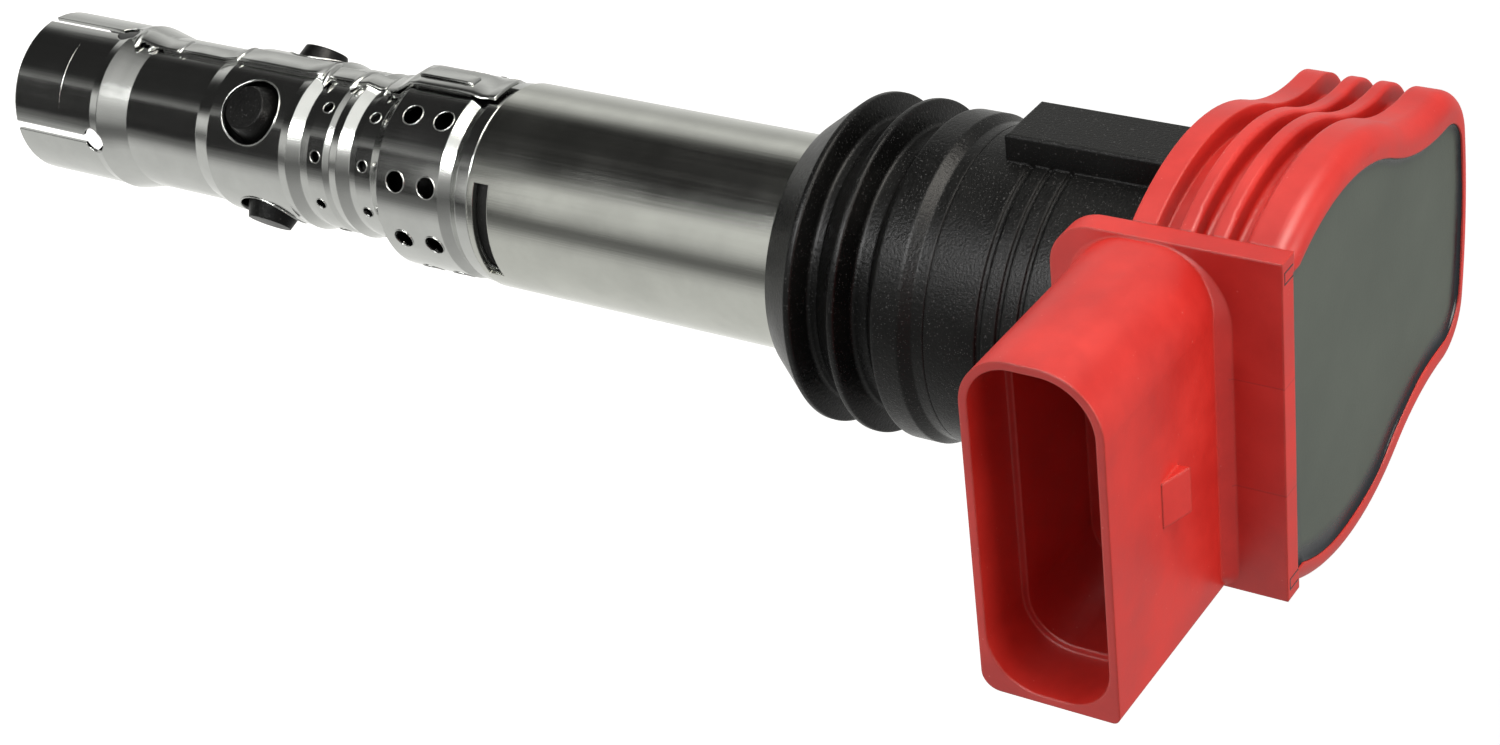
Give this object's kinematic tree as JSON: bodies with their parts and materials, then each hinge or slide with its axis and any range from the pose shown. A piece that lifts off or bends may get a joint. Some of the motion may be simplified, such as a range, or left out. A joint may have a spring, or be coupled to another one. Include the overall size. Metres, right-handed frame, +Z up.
{
  "type": "ignition coil",
  "caption": "Pencil ignition coil: slotted steel plug sleeve, polished barrel, black lipped seal, keyed collar and ribbed red head with an oval connector socket.",
  "frame": {"origin": "on the barrel's axis, in the plane of the contact sleeve's open end, where the spark plug enters", "axes": "+Z up the barrel to the head; the connector mouth faces -Y; the locating block is on the -X side"},
  "size_m": [0.0424, 0.0685, 0.1628],
  "materials": {
    "bright_steel": "polished",
    "barrel_steel": "polished, fine drawn lines",
    "boot_rubber": "matt",
    "seal_rubber": "satin, dusty",
    "black_plastic": "fine texture",
    "red_plastic": "satin",
    "grey_resin": "matt",
    "case_plastic": "satin",
    "core_iron": "laminated",
    "magnet": "ground",
    "cushion_rubber": "matt",
    "bobbin_plastic": "moulded",
    "fine_copper": "enamelled",
    "copper": "enamelled",
    "clear_resin": "cast",
    "tinned_brass": "drawn",
    "ceramic": "glazed",
    "spring_steel": "drawn wire",
    "aluminium_plate": "stamped",
    "chip_epoxy": "moulded",
    "tinned_copper": "tinned"
  },
  "bodies": {
    "coil": {"contact_sleeve": "bright_steel", "barrel_tube": "barrel_steel", "plug_boot": "boot_rubber", "shaft_seal": "seal_rubber", "key_collar": "black_plastic", "head_housing": "red_plastic", "potting_resin": "grey_resin", "coil_case": "case_plastic", "core_rod": "core_iron", "lower_magnet": "magnet", "upper_magnet": "magnet", "lower_cushion": "cushion_rubber", "upper_cushion": "cushion_rubber", "secondary_bobbin": "bobbin_plastic", "secondary_winding": "fine_copper", "primary_bobbin": "bobbin_plastic", "primary_winding": "copper", "winding_resin": "clear_resin", "hv_terminal": "tinned_brass", "suppressor_resistor": "ceramic", "hv_lead": "tinned_brass", "contact_spring": "spring_steel", "heat_spreader": "aluminium_plate", "igniter_module": "chip_epoxy", "igniter_leads": "tinned_copper", "winding_straps": "tinned_copper", "terminal_pin_1": "tinned_copper", "terminal_pin_2": "tinned_copper", "terminal_pin_3": "tinned_copper", "terminal_pin_4": "tinned_copper"},
    "spring_tip": {"spring_tip": "spring_steel"}
  },
  "joints": [
    {"name": "contact_travel", "type": "slide", "parent": "coil", "child": "spring_tip", "axis": [0, 0, 1], "range_m": [0, 0.006], "stiffness_N_per_m": 900, "deforming": ["contact_spring"]}
  ]
}
